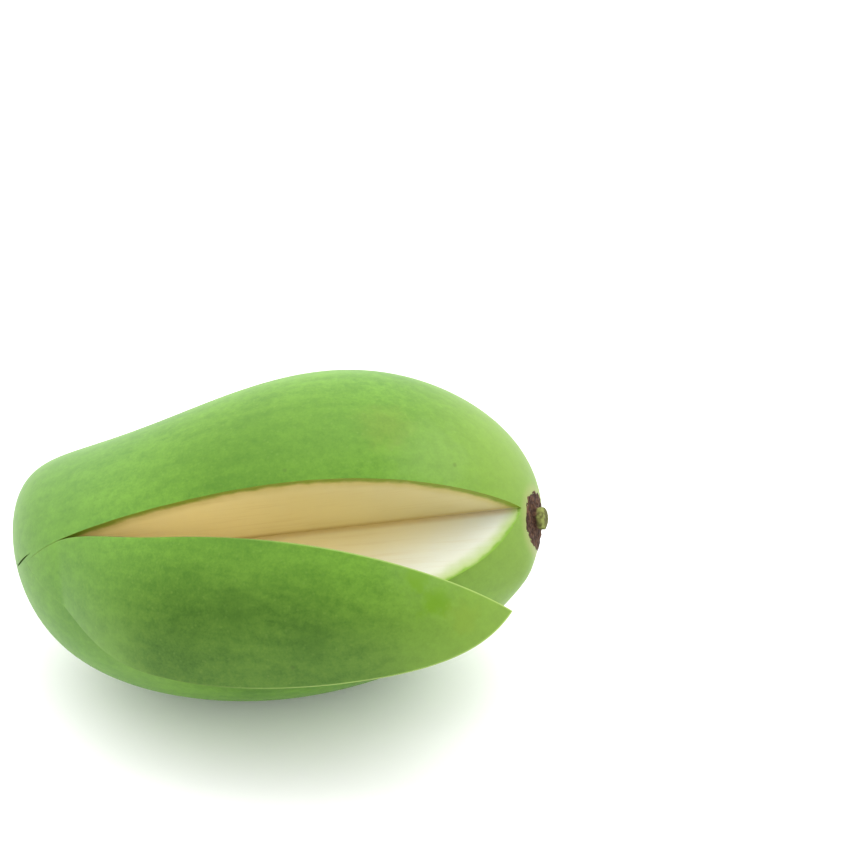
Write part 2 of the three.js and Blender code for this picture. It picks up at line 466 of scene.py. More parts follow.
# Each section: its share of the way, then how many of the slit's widths and depths it has.
SECTIONS = ((0.0, 0.1, 0.0), (0.2, 0.7, 0.9), (0.5, 1.0, 1.9), (0.8, 0.8, 0.9), (1.0, 0.1, 0.0))


def slit_blade():
    """The tip of the blade, as a closed piece to cut with."""
    start, end, core = (on_fruit(spot) for spot in (SLIT["from"], SLIT["to"], BEAK_CORE))
    run = (end - start).normalized()
    outwards = ((start + end) / 2 - core).normalized()
    across = outwards.cross(run).normalized()
    outwards = run.cross(across)
    points = []
    for share, wide, deep in SECTIONS:
        place = start.lerp(end, share)
        half, depth = wide * SLIT["width"] / 2, deep * SLIT["depth"]
        outline = [(0, -depth), (half, SLIT_SHOULDER), (half, SLIT_TOP)]
        outline += [(-half, SLIT_TOP), (-half, SLIT_SHOULDER)]
        points += [place + across * a + outwards * b for a, b in outline]
    count = len(outline)
    last = len(points) - count
    faces = [tuple(range(count)), tuple(range(last + count - 1, last - 1, -1))]
    for ring in range(0, last, count):
        faces += [(ring + k, ring + (k + 1) % count, ring + (k + 1) % count + count, ring + k + count)
                  for k in range(count)]
    mesh = bpy.data.meshes.new("slit_tool")
    mesh.from_pydata([tuple(point) for point in points], [], faces)
    return outward(link("slit_tool", mesh))


def outward(piece):
    """Makes a closed piece's faces point out."""
    work = bmesh.new()
    work.from_mesh(piece.data)
    bmesh.ops.recalc_face_normals(work, faces=work.faces)
    work.to_mesh(piece.data)
    work.free()
    return piece


def combine(piece, tool, operation):
    modifier = piece.modifiers.new("cut", "BOOLEAN")
    modifier.operation = operation
    modifier.solver = "EXACT"
    modifier.object = tool
    return apply_modifiers(piece)


# %% [markdown]
# ## Cut, and swing the slice open
#
# Blender's Boolean modifier makes the cuts. The slice is then swung on its lower cut face like a
# door on its hinge. It isn't stiff, though: at the beak it still sits in its place, and from there
# it bends until the whole swing is reached. So each point gets its own share of the swing. A last
# cut takes off what would reach into the upper half of the fruit.

# %% Cut the body and the slice
CLEAR_BELOW = math.radians(40)
MENDINGS = 40

body = link("mango_flesh_and_skin", fruit.data.copy())
slice_piece = link("loose_slice", fruit.data.copy())
notch_tool = wedge("notch_tool", -LOWER_CUT, UPPER_CUT, 0.0, BLADE, wavy=True)
slice_tool = wedge("slice_tool", -LOWER_CUT, UPPER_CUT, KERF, BLADE)
slit_tool = slit_blade()
combine(body, notch_tool, "DIFFERENCE")
combine(body, slit_tool, "DIFFERENCE")
combine(slice_piece, slice_tool, "INTERSECT")

swing_normal = (OUT * math.sin(LOWER_CUT) + UP * math.cos(LOWER_CUT)).normalized()
pivot = NOTCH_AT + ALONG * (SWING_X / ALONG.x)
swing = Matrix.Translation(pivot) @ Matrix.Rotation(-SWING, 4, swing_normal) @ Matrix.Translation(-pivot)


def bend_open(points):
    """Swings the slice's points: the whole way beyond the bend, and less towards the beak."""
    swung = through(swing, points)
    along = (points - np.array(NOTCH_AT)) @ np.array(ALONG)
    closed = np.clip((BEND["open"] - along) / (BEND["open"] - BEND["closed"]), 0, 1) ** BEND["fall-off"]
    return swung + closed[:, None] * (points - swung)


def bend_shut(points):
    """Finds where each point of the open slice sat before, by mending a guess again and again."""
    guess = points.copy()
    for _ in range(MENDINGS):
        guess = guess + points - bend_open(guess)
    return guess


slice_piece.data.vertices.foreach_set("co", bend_open(points_of(slice_piece.data)).ravel())
slice_piece.data.update()
clear_tool = wedge("clear_tool", -LOWER_CUT - CLEAR_BELOW, UPPER_CUT, KERF, WIDE_BLADE)
combine(slice_piece, clear_tool, "INTERSECT")
for tool in (notch_tool, slice_tool, slit_tool, clear_tool, fruit):
    bpy.data.objects.remove(tool)
print("body", len(body.data.polygons), "faces; slice", len(slice_piece.data.polygons), "faces")

# %% [markdown]
# ## What each point knows
#
# A finish that follows the fruit needs to know where on the fruit a point is: how far along it,
# how deep under the skin, how close to a cut. Each point gets these as named attributes, worked
# out from the same rule that made the shape. The slice's points are turned back into the notch
# first, so its skin carries the pattern of the place where it grew.


# %% Places and depths, from the rule
NEAR_POLE = 0.9999
DEPTH_STEP = 0.05 * MM
LEAST_SLOPE = 1e-6


def fruit_place(points, swung):
    """Where the points grew, in the part's frame and in the fruit's own."""
    grown = bend_shut(points) if swung else points
    return grown, in_fruit(grown)


def roundness(place):
    """1 on the skin, less inside: a point's distance from its section's middle, over the skin's."""
    height = np.clip(place[:, 0] / (LENGTH / 2), -NEAR_POLE, NEAR_POLE)
    angle = np.arccos(height)
    sine = np.sin(angle)
    across = (place[:, 1] - series(BOW, angle)) / (series(HALF_WIDTH, angle) * sine)
    deep = place[:, 2] / (series(HALF_THICKNESS, angle) * sine)
    return np.hypot(across, deep)


def skin_depth(place):
    """How far under the skin a point is, in metres: good near the skin, rougher in the middle."""
    here = roundness(place)
    slopes = [(roundness(place + DEPTH_STEP * way) - here) / DEPTH_STEP for way in np.eye(3)]
    steepness = np.sqrt(sum(s * s for s in slopes))
    return np.clip((1 - here) / np.maximum(steepness, LEAST_SLOPE), 0, None)


def cut_distances(points):
    """Distances from both cut planes, and from the line where they meet."""
    off = points - np.array(NOTCH_AT)
    out, up = off @ np.array(OUT), off @ np.array(UP)
    over_lower = up * math.cos(LOWER_CUT) + out * math.sin(LOWER_CUT)
    before_upper = out * math.sin(UPPER_CUT) - up * math.cos(UPPER_CUT)
    return np.abs(over_lower), np.abs(before_upper), np.hypot(out, up)


# %% [markdown]
# ## Write the measures on the meshes
#
# A named attribute is a value that each point of a mesh carries with it, and a material can read
# it by its name. The faces are sorted here too: those that lie under the skin are flesh, all
# others are skin, and each kind gets its own material.


# %% Write the attributes and sort the faces
FAR_OFF = 1.0
HAIR = 0.01 * MM
FLESH_FROM = 0.03 * MM
GROUND_BAND = 0.3 * MM
SEAT_MARGIN = 1 * MM
SHARP_FROM = math.radians(32)


def write_attribute(mesh, name, values, kind="FLOAT"):
    attribute = mesh.attributes.new(name, kind, "POINT")
    attribute.data.foreach_set("vector" if kind == "FLOAT_VECTOR" else "value", np.ravel(values))


def measure(piece, swung):
    """Writes the attributes, and gives skin and flesh their own materials."""
    mesh = piece.data
    points, place = fruit_place(points_of(mesh), swung)
    over_lower, before_upper, from_line = cut_distances(points)
    write_attribute(mesh, "fruit_place", place, "FLOAT_VECTOR")
    measures = {
        "skin_depth": skin_depth(place),
        "line_gap": from_line,
        "edge_gap": np.minimum(over_lower, before_upper) if swung else np.full(len(points), FAR_OFF),
        "upper_share": over_lower / (over_lower + before_upper + HAIR),
        "stalk_gap": np.linalg.norm(points - np.array(stalk_at), axis=1),
    }
    for name, values in measures.items():
        write_attribute(mesh, name, values)
    mesh.materials.clear()
    for material in (skin_material, flesh_material):
        mesh.materials.append(material)
    centres = np.zeros(len(mesh.polygons) * 3)
    mesh.polygons.foreach_get("center", centres)
    centre_points, centre_place = fruit_place(centres.reshape(-1, 3), swung)
    inside = skin_depth(centre_place) > FLESH_FROM
    off_ground = centres.reshape(-1, 3)[:, 2] > GROUND_BAND
    from_stalk = np.linalg.norm(centre_points - np.array(stalk_at), axis=1)
    off_seat = from_stalk > SEAT_RADIUS + SEAT_MARGIN
    is_flesh = (inside & off_ground & off_seat).astype(np.int32)
    mesh.polygons.foreach_set("material_index", is_flesh)
    smooth_all(mesh)
    mesh.set_sharp_from_angle(angle=SHARP_FROM)
    mesh.update()
    print(piece.name, "flesh faces", int(is_flesh.sum()), "of", len(mesh.polygons))


measure(body, swung=False)
measure(slice_piece, swung=True)

# %% [markdown]
# ## The skin
#
# Unripe mango skin is a mid green with a thin waxy bloom. Close up it is never one green: there
# are soft clouds, faint streaks that run from stem to beak, and fine pale pores. The colour turns
# yellower and paler at the stem end. The bloom is a sheen, so it shows where the skin turns away.
# All patterns read the fruit_place attribute, in metres, so a pore is as small as a real one.

# %% The skin's tones and marks
DEEP_GREEN = paint(80, 128, 26)
FRESH_GREEN = paint(116, 164, 46)
STEM_YELLOW = paint(124, 152, 62)
# The cheek tones: partly the skin's deeper green, partly painted shade. CHEEK_DEEP also colours two dark
# patches.
CHEEK_DEEP = paint(52, 92, 12)
CHEEK_FRESH = paint(92, 130, 40)
PORE_GREEN = paint(138, 172, 80)
# Along the slice's cut edge: partly the cream of the cut flesh, partly a painted highlight where the edge
# catches the light.
RIM_CREAM_HIGHLIGHT = paint(184, 206, 120)
SCAR_HALO = paint(160, 158, 104)
RIDGE_GREEN = paint(72, 112, 22)
PATCH_GREEN = paint(98, 142, 2)
PATCH_OLIVE = paint(120, 146, 44)
PALE_BLOOM = paint(140, 172, 104)
# Painted light: a paler tone low on the fruit's front, for light bounced up from the white floor.
PAINTED_FLOOR_BOUNCE = paint(134, 174, 80)
BEAK_TONE = paint(112, 150, 88)
BROWN_BLUSH = paint(120, 132, 44)
SPECK_BROWN = paint(58, 66, 26)

# The cheek: partly the skin's deeper green, partly painted shade on the slice, which faces forward and
# down, away from the light above.
CHEEK_SHADE_AND_TONE = {"spot": (10, -38, 17), "squeeze": 0.5, "fade": (12 * MM, 36 * MM, 1.0, 0.0)}
RIDGE = {"spot": (8, -2, 41), "squeeze": 0.5, "fade": (6 * MM, 27 * MM, 0.42, 0.0)}
# Each mark: its name, tone, spot in the fruit's own frame, size in millimetres and strength.
BROAD_MARKS = (
    ("darker patch", CHEEK_DEEP, (3.9, -31.3, 29.5), 8, 0.4),
    ("bright patch", PATCH_GREEN, (45.2, -14.4, 29.2), 4.2, 1.0),
    ("its lower end", PATCH_GREEN, (50.0, -16.4, 24.5), 5.2, 0.8),
    ("olive patch", PATCH_OLIVE, (56.5, -16.1, 18.5), 6.0, 0.4),
    ("pale bloom", PALE_BLOOM, (46.0, -6.0, 31.0), 16, 0.18),
    ("low patch", CHEEK_DEEP, (22.9, -32.6, 23.4), 8, 0.4),
    # Painted light, bounced from the white floor onto the low front of the fruit.
    ("painted floor bounce", PAINTED_FLOOR_BOUNCE, (-32.0, -39.0, 8.0), 20, 0.27),
    ("blush", BROWN_BLUSH, (34.7, 1.0, 38.3), 10, 0.25),
)
# Each speck: its spot and its size.
SPECKS = ((10.4, -12.7, 40.3, 0.8), (51.0, -5.5, 28.5, 0.9), (18.8, -36.9, 17.6, 1.0), (-22, 20, 33, 0.9))
SPECK_STRENGTH = 0.28
MARK_CORE = 0.2
WOBBLE = {"scale": 330.0, "size": 4.5 * MM}


# %% [markdown]
# ## Helpers for materials
#
# All the materials below are made of the same few things: an attribute, cloudy noise, the
# distance from a spot, and one surface shader at the end. Each gets a short helper. How a tone
# comes and goes is a fade: four numbers, the values where it starts and ends and its shares there.


# %% Helpers for materials
def attribute_socket(tree, name, vector=False):
    node = add_node(tree, "ShaderNodeAttribute", attribute_name=name)
    return node.outputs["Vector" if vector else "Fac"]


def noise(tree, place, scale, detail=3.0, roughness=0.5, squeeze=1.0):
    """Cloudy values round 0.5, by clouds to a metre. A squeeze below 1 draws them out along X."""
    squeezed = add_node(tree, "ShaderNodeMapping", {"Vector": place, "Scale": (squeeze, 1, 1)})
    inputs = {"Vector": squeezed.outputs[0], "Scale": scale, "Detail": detail, "Roughness": roughness}
    return add_node(tree, "ShaderNodeTexNoise", inputs).outputs["Fac"]


def distance_from(tree, place, spot, squeeze=1.0):
    """How far a point is from a spot given in millimetres in the fruit's own frame."""
    centre = [MM * spot[0] * squeeze, MM * spot[1], MM * spot[2]]
    squeezed = {0: place, 1: (squeeze, 1, 1)}
    place = add_node(tree, "ShaderNodeVectorMath", squeezed, operation="MULTIPLY").outputs[0]
    ends = {0: place, 1: centre}
    return add_node(tree, "ShaderNodeVectorMath", ends, operation="DISTANCE").outputs["Value"]


def shade(tree, place, where):
    """The share of a broad shade: full round its spot, and faded out further off."""
    away = distance_from(tree, place, where["spot"], where["squeeze"])
    return ease(tree, away, *where["fade"])


def spot_mark(tree, colour, away, size, strength, tone):
    """Blends a tone over the colour where the distance is smaller than a size in millimetres."""
    share = ease(tree, away, MARK_CORE * size * MM, size * MM, strength, 0.0)
    return blend(tree, share, colour, tone)


def clear_tree(material):
    material.use_nodes = True
    tree = material.node_tree
    tree.nodes.clear()
    return tree


def finish_material(tree, colour, surface, bump=None):
    """Ends a material with one surface shader. A bump is given as the inputs of its node."""
    shader = add_node(tree, "ShaderNodeBsdfPrincipled", {"Base Color": colour, **surface})
    if bump is not None:
        tree.links.new(add_node(tree, "ShaderNodeBump", bump).outputs[0], shader.inputs["Normal"])
    out = add_node(tree, "ShaderNodeOutputMaterial")
    tree.links.new(shader.outputs[0], out.inputs["Surface"])


# %% [markdown]
# ## Lay the skin's colours over each other
#
# A skin is painted from the broad to the fine: first the green with its clouds and streaks, then
# the darker cheek and ridge, then single marks and pores, and last the pale edge of the slice. The
# cheek's darkening is partly the skin's deeper green and partly painted shade on the slice, which
# faces forward and down. One broad mark low on the front is painted light bounced up from the white
# floor, and the pale edge of the slice is partly the cut flesh's cream and partly a painted highlight.
# Each step blends one more tone over the colour so far, by a share from 0 to 1.


# %% Paint the skin
# Each pattern: clouds to a metre, detail, roughness, squeeze along the fruit, share of the mix.
SKIN_PATTERNS = {
    "clouds": (28.0, 3.0, 0.5, 1.0, 0.4),
    "streaks": (330.0, 2.0, 0.5, 0.2, 0.25),
    "mottle": (480.0, 3.0, 0.7, 1.0, 0.35),
    "grain": (1700.0, 2.0, 0.6, 1.0, 0.2),
}
SKIN_FADES = {
    "mix": (0.38, 0.82, 0.0, 1.0),
    "to stem": (0.2 * LENGTH, 0.52 * LENGTH, 0.0, 0.75),
    "to beak": (-0.45 * LENGTH, -0.05 * LENGTH, 0.35, 0.0),
    "pore": (0.06, 0.24, 0.11, 0.0),
    "round the scar": (7.6 * MM, 11 * MM, 0.5, 0.0),
    "slice's edge": (0.16 * MM, 0.5 * MM, 0.55, 0.0),
    "along the edge": (-12 * MM, 36 * MM, 0.08, 1.0),
}
PORES = {"Scale": 480.0, "Randomness": 1.0}
PORE_HEIGHT = 0.6
SKIN_BUMP = {"Strength": 0.12, "Distance": 0.25 * MM}
SKIN_SURFACE = {
    "Roughness": 0.5, "Specular IOR Level": 0.25,
    "Sheen Weight": 0.05, "Sheen Roughness": 0.4, "Sheen Tint": (0.72, 0.95, 0.84, 1),
    "Subsurface Weight": 0.12, "Subsurface Radius": (0.0015, 0.0022, 0.0008),
}


def paint_skin(material):
    tree = clear_tree(material)
    place = attribute_socket(tree, "fruit_place", vector=True)
    along = add_node(tree, "ShaderNodeSeparateXYZ", {0: place}).outputs["X"]

    patterns, mix = {}, 0.0
    for name, (*pattern, weight) in SKIN_PATTERNS.items():
        patterns[name] = noise(tree, place, *pattern)
        mix = calculate(tree, "MULTIPLY_ADD", patterns[name], weight, mix)
    # Painted shade in part: the cheek darkens the slice, which faces forward and down; the rest is the
    # skin's deeper green there.
    cheek = shade(tree, place, CHEEK_SHADE_AND_TONE)
    deep = blend(tree, cheek, DEEP_GREEN, CHEEK_DEEP)
    fresh = blend(tree, cheek, FRESH_GREEN, CHEEK_FRESH)
    colour = blend(tree, ease(tree, mix, *SKIN_FADES["mix"]), deep, fresh)
    colour = blend(tree, shade(tree, place, RIDGE), colour, RIDGE_GREEN)
    colour = blend(tree, ease(tree, along, *SKIN_FADES["to stem"]), colour, STEM_YELLOW)
    colour = blend(tree, ease(tree, along, *SKIN_FADES["to beak"]), colour, BEAK_TONE)

    waves = noise(tree, place, WOBBLE["scale"])
    wobble = calculate(tree, "MULTIPLY_ADD", waves, 2 * WOBBLE["size"], -WOBBLE["size"])
    for _, tone, spot, size, strength in BROAD_MARKS:
        away = calculate(tree, "ADD", distance_from(tree, place, spot), wobble)
        colour = spot_mark(tree, colour, away, size, strength, tone)
    for *spot, size in SPECKS:
        away = distance_from(tree, place, spot)
        colour = spot_mark(tree, colour, away, size, SPECK_STRENGTH, SPECK_BROWN)

    pores = add_node(tree, "ShaderNodeTexVoronoi", {"Vector": place, **PORES})
    pore = ease(tree, pores.outputs["Distance"], *SKIN_FADES["pore"])
    colour = blend(tree, pore, colour, PORE_GREEN)
    round_scar = ease(tree, attribute_socket(tree, "stalk_gap"), *SKIN_FADES["round the scar"])
    colour = blend(tree, round_scar, colour, SCAR_HALO)
    # Pale edge of the slice: partly the cut flesh's cream, partly a painted highlight.
    rim = ease(tree, attribute_socket(tree, "edge_gap"), *SKIN_FADES["slice's edge"])
    rim = calculate(tree, "MULTIPLY", rim, ease(tree, along, *SKIN_FADES["along the edge"]))
    colour = blend(tree, rim, colour, RIM_CREAM_HIGHLIGHT)

    heights = calculate(tree, "MULTIPLY_ADD", pore, PORE_HEIGHT, patterns["mottle"])
    finish_material(tree, colour, SKIN_SURFACE, {**SKIN_BUMP, "Height": heights})


paint_skin(skin_material)

# %% [markdown]
# ## The flesh
#
# The cut shows everything under the skin at once. Outermost is the skin itself, a green line about
# a millimetre wide. Under it lies a yellow-green layer that fades into cream, and the flesh grows
# a little yellower towards the middle. Crisp flesh lets light in, so it needs some scattering
# under its surface. Faint fibres run along the fruit. The upper cut face looks down into the notch
# and is painted yellower all over: partly the flesh's deeper tone, partly painted shade and light
# bounced between the two cut faces. So most tones and depths here have an upper and a lower value,
# and upper_share blends them. Towards the beak the upper face gets painted light, where the narrow
# gap shades it, and the flesh in the slit at the beak gets painted shade, a dark green.

# %% Paint the flesh
FLESH_CREAM = paint(214, 217, 204)
FLESH_DEEP = paint(226, 213, 162)
UNDER_SKIN = paint(150, 178, 70)
UNDER_OLIVE = paint(186, 172, 84)
SKIN_LINE = paint(118, 140, 28)
SKIN_GREEN = paint(112, 160, 8)
LINE_OLIVE = paint(184, 152, 70)
# Painted light: lightens the upper cut face towards the beak, where the narrow gap shades it.
BEAK_PAINTED_LIGHT = paint(255, 240, 194)
STEM_FLESH = paint(196, 186, 140)
# Painted shade: darkens the flesh in the narrow slit at the beak.
SLIT_PAINTED_SHADE = paint(66, 96, 26)

FLESH_FADES = {
    "upper": (0.4, 0.6, 0.0, 1.0),
    "inner": (5 * MM, 26 * MM, 0.0, 1.0),
    "to beak": (-20 * MM, 20 * MM, 0.7, 0.0),
    "to stem": (12 * MM, 50 * MM, 0.0, 0.5),
    "fibre": (0.5, 0.75, 0.0, 0.13),
    "fold": (0.2 * MM, 2.2 * MM, 0.5, 0.0),
    "slit": (-59.6 * MM, -58.8 * MM, 0.95, 0.0),
}
# The upper cut face takes the deep tone all over: partly the flesh's deeper tone, partly painted shade
# and bounced light, as it looks down into the notch.
UPPER_DEPTH_AND_SHADE = 0.95
FIBRES = (700.0, 3.0, 0.6, 0.06)
UNEVEN = {"pattern": (240.0, 4.0), "size": 1.2 * MM}
GREEN_FROM = 0.3 * MM
# Each depth: on the lower cut face, and how much more it is on the upper one.
GREEN_TO = (5.0 * MM, 1.2 * MM)
LINE_FROM = (0.15 * MM, 0.7 * MM)
LINE_TO = (1.3 * MM, 1.4 * MM)
GREEN_STRENGTH = 0.8
LINE_STRENGTH = 0.95
FLESH_BUMP = {"Strength": 0.2, "Distance": 0.2 * MM}
FLESH_SURFACE = {
    "Roughness": 0.42, "Specular IOR Level": 0.4,
    "Subsurface Weight": 0.35, "Subsurface Radius": (0.003, 0.0028, 0.0018),
}


def paint_flesh(material):
    tree = clear_tree(material)
    place = attribute_socket(tree, "fruit_place", vector=True)
    along = add_node(tree, "ShaderNodeSeparateXYZ", {0: place}).outputs["X"]
    depth = attribute_socket(tree, "skin_depth")

    upper = ease(tree, attribute_socket(tree, "upper_share"), *FLESH_FADES["upper"])

    def by_face(lower_value, more_above):
        return calculate(tree, "MULTIPLY_ADD", upper, more_above, lower_value)

    inner = ease(tree, depth, *FLESH_FADES["inner"])
    # Upper face: the deep tone everywhere, partly painted shade and bounced light.
    inner = calculate(tree, "MULTIPLY_ADD", upper, UPPER_DEPTH_AND_SHADE, inner, clamp=True)
    colour = blend(tree, inner, FLESH_CREAM, FLESH_DEEP)
    # On the upper face: painted light towards the beak, and a greyer tone towards the stem.
    for name, tone in (("to beak", BEAK_PAINTED_LIGHT), ("to stem", STEM_FLESH)):
        share = calculate(tree, "MULTIPLY", upper, ease(tree, along, *FLESH_FADES[name]))
        colour = blend(tree, share, colour, tone)
    fibres = noise(tree, place, *FIBRES)
    colour = blend(tree, ease(tree, fibres, *FLESH_FADES["fibre"]), colour, LINE_OLIVE)
    fold = ease(tree, attribute_socket(tree, "line_gap"), *FLESH_FADES["fold"])
    colour = blend(tree, fold, colour, LINE_OLIVE)

    waves = noise(tree, place, *UNEVEN["pattern"])
    uneven = calculate(tree, "MULTIPLY_ADD", waves, 2 * UNEVEN["size"], -UNEVEN["size"])
    depth = calculate(tree, "ADD", depth, uneven)
    green = ease(tree, depth, GREEN_FROM, by_face(*GREEN_TO), GREEN_STRENGTH, 0.0)
    colour = blend(tree, green, colour, blend(tree, upper, UNDER_SKIN, UNDER_OLIVE))
    line = ease(tree, depth, by_face(*LINE_FROM), by_face(*LINE_TO), LINE_STRENGTH, 0.0)
    colour = blend(tree, line, colour, blend(tree, upper, SKIN_GREEN, SKIN_LINE))
    # Painted shade: the flesh in the slit at the beak is made dark green.
    colour = blend(tree, ease(tree, along, *FLESH_FADES["slit"]), colour, SLIT_PAINTED_SHADE)
    finish_material(tree, colour, FLESH_SURFACE, {**FLESH_BUMP, "Height": fibres})


paint_flesh(flesh_material)

# %% [markdown]
# ## Floor and light
#
# The fruit was photographed in a white room: light from all sides, a little more from above, and
# a white ground that runs out of the picture. A large plane, a white sky and one broad soft
# light overhead give that. The soft grey shadow then comes by itself.

# %% Set floor and lights
FLOOR_SIZE = 8.0
FLOOR_WHITE = (0.9, 0.9, 0.9, 1)
FLOOR_GLOW = 0.12
SKY_LEVEL = 0.66
SKY_SLOPES = {"X": 0.12, "Y": 0.75, "Z": 1.6}
SKY_LEAST = 0.05
WHITE = (1, 1, 1, 1)
LIGHT_AT = Vector((0.15, 0.2, 1.1))
LIGHT_AIM = Vector((0, 0, 0.04))
LIGHT_SIZE = 0.8
LIGHT_POWER = 2.0

half = FLOOR_SIZE / 2
floor_mesh = bpy.data.meshes.new("floor")
corners = [(x * half, y * half, 0) for x, y in ((-1, -1), (1, -1), (1, 1), (-1, 1))]
floor_mesh.from_pydata(corners, [], [(0, 1, 2, 3)])
floor = link("floor", floor_mesh)
floor_material = bpy.data.materials.new("white_floor")
floor_tree = clear_tree(floor_material)
glow = {"Emission Color": WHITE, "Emission Strength": FLOOR_GLOW}
finish_material(floor_tree, FLOOR_WHITE, {"Roughness": 0.7, "Specular IOR Level": 0.2, **glow})
floor_mesh.materials.append(floor_material)

world = bpy.data.worlds.new("white_room")
world.use_nodes = True
sky = world.node_tree
direction = add_node(sky, "ShaderNodeTexCoord").outputs["Generated"]
direction = add_node(sky, "ShaderNodeSeparateXYZ", {0: direction})
strength = SKY_LEVEL
for axis, slope in SKY_SLOPES.items():
    strength = calculate(sky, "MULTIPLY_ADD", direction.outputs[axis], slope, strength)
sky.links.new(calculate(sky, "MAXIMUM", strength, SKY_LEAST), sky.nodes["Background"].inputs["Strength"])
sky.nodes["Background"].inputs["Color"].default_value = WHITE
bpy.context.scene.world = world
bpy.context.scene.view_settings.view_transform = "Standard"

light_data = bpy.data.lights.new("overhead_light", "AREA")
light_data.shape = "DISK"
light_data.size = LIGHT_SIZE
light_data.energy = LIGHT_POWER
light = link("overhead_light", light_data)
light.location = LIGHT_AT
light.rotation_euler = (LIGHT_AIM - LIGHT_AT).to_track_quat("-Z", "Y").to_euler()

# %% [markdown]
# ## The scar and the stub of the stalk
#
# Where the stalk stood, the fruit has a round scar of dark cork with a short woody stub in its
# middle. It is turned like a small button: a profile from the middle outwards, laid on the skin
# and roughened, so that its ragged rim runs out over the skin.

# %% Find the skin under the scar
HALVINGS = 24
SEARCH_BELOW = 6 * MM
SEARCH_ABOVE = 3 * MM


def button_points(rho, theta, height):
    """Places round the stalk's axis, as a table of points in the part's frame."""
    local = np.stack([rho * np.cos(theta), rho * np.sin(theta), height], -1)
    return through(stalk_frame, local.reshape(-1, 3))


def skin_height(rho, theta):
    """How far the skin lies over the plane of the scar, found by halving an interval."""
    low, high = np.full(rho.shape, -SEARCH_BELOW), np.full(rho.shape, SEARCH_ABOVE)
    for _ in range(HALVINGS):
        middle = (low + high) / 2
        place = in_fruit(button_points(rho, theta, middle))
        beyond = np.abs(place[:, 0]) >= LENGTH / 2 * NEAR_POLE
        outside = ((roundness(place) > 1) | beyond).reshape(rho.shape)
        high = np.where(outside, middle, high)
        low = np.where(outside, low, middle)
    pressed = press_seat(button_points(rho, theta, (low + high) / 2))
    return through(stalk_frame.inverted(), pressed)[:, 2].reshape(rho.shape)


# %% [markdown]
# ## The outline of the button
#
# Nothing that grew is a true circle. The scar's rim and the stub's side each follow a circle with
# a few random waves on it. The random numbers start from a fixed seed, so every run is the same.

# %% Ragged outlines
RINGS = 64
SPOKES = 144
STUB_SHARE = 0.42
# Each line: how many waves it has all round, and its size.
LINES = {
    "rim": ((2, 3, 5, 7, 11, 16, 23), 0.5 * MM),
    "stub": ((2, 3, 6, 9, 14), 0.28 * MM),
    "grain": ((9, 13, 17, 22, 31), 0.10 * MM),
}
LINE_SEED = 7
rng = np.random.default_rng(LINE_SEED)


def ragged(theta, name):
    """A closed uneven line round the scar, from a few random waves."""
    waves, size = LINES[name]
    phases = rng.uniform(0, 2 * math.pi, len(waves))
    sizes = rng.uniform(0.5, 1.0, len(waves)) / np.sqrt(waves)
    return size * sum(s * np.sin(w * theta + p) for w, s, p in zip(waves, sizes, phases))


theta = np.linspace(0, 2 * math.pi, SPOKES, endpoint=False)
rim_line = ragged(theta, "rim")
stub_line = ragged(theta, "stub")
share = np.linspace(0, 1, RINGS)[:, None]
print("scar, mean radius", round(1000 * float((SCAR_RADIUS + rim_line).mean()), 2), "mm")

# %% [markdown]
# ## The height of the button
#
# Each point of the button is named by two numbers: its share of the way from the middle to the
# rim, and its angle. Up to a share of 0.42 it is on the stub: the top first, then the wall. From
# there on it is on the cork, which lies on the skin, is thicker inside and lumpy everywhere.

# %% Heights from the middle to the rim
TOP_SHARE = 0.69
TOP_SPREAD = 1.45
TOP_POWER = 0.9
STUB_ROUNDING = 0.9 * MM
ROUNDING_POWER = 2.5
GRAIN_ON_TOP = 1.6
PITH_SHARE = 0.3
CRUST = 0.2 * MM
CRUST_POWER = 0.6
LUMP = 0.09 * MM
SMALL_LUMP = 0.03 * MM

on_stub = np.clip(share / STUB_SHARE, 0, 1)
on_cork = np.clip((share - STUB_SHARE) / (1 - STUB_SHARE), 0, 1)
top_spread = np.where(share < STUB_SHARE, np.minimum(1, on_stub * TOP_SPREAD) ** TOP_POWER, 1)
radius = (STUB_RADIUS + stub_line) * top_spread
radius = radius + on_cork * (SCAR_RADIUS + rim_line - STUB_RADIUS - stub_line)
angles = np.broadcast_to(theta, radius.shape)
wall = np.clip((on_stub - TOP_SHARE) / (1 - TOP_SHARE), 0, 1)
grain = ragged(theta, "grain")
crust = CRUST * np.sin(on_cork * math.pi * 0.5 + math.pi * 0.5) ** CRUST_POWER
# The whole numbers here are counts of waves round the scar, and radians from stub to rim.
lumps = np.sin(angles * 9 + on_cork * 7) * np.sin(on_cork * 17 + 2 * np.sin(3 * angles)) * LUMP
lumps = lumps + np.sin(angles * 23 + on_cork * 19) * SMALL_LUMP
upwards = stalk_frame.to_3x3().inverted() @ Vector((0, 0, 1))
aside = STUB_ASIDE * (1 - on_cork)
east = radius * np.cos(angles) + aside * upwards.x
north = radius * np.sin(angles) + aside * upwards.y
height = skin_height(np.hypot(east, north), np.arctan2(north, east)) + crust
height = height + lumps * np.where(on_cork > 0, 1, 0)
stub_out = radius / STUB_RADIUS
stub_top = STUB_HEIGHT - STUB_ROUNDING * stub_out ** ROUNDING_POWER + GRAIN_ON_TOP * grain * stub_out
stub_top = stub_top - PITH_DEPTH * np.exp(-(stub_out / PITH_SHARE) ** 2)
height = np.where(share < STUB_SHARE, stub_top * (1 - wall) + wall * height, height)

print("stub stands", round(1000 * float(stub_top.max()), 2), "mm over the plane of the scar")

# %% [markdown]
# ## Close the button
#
# The rings of points become faces. Under the rim the mesh turns in and down to one point inside
# the fruit, so that the button is a closed body and its rim never shows an edge of air.

# %% Join the rings to a closed mesh
TUCK = {"in": 0.97, "down": 0.9 * MM, "root": 3.2 * MM}
PAST_RIM = 1.1

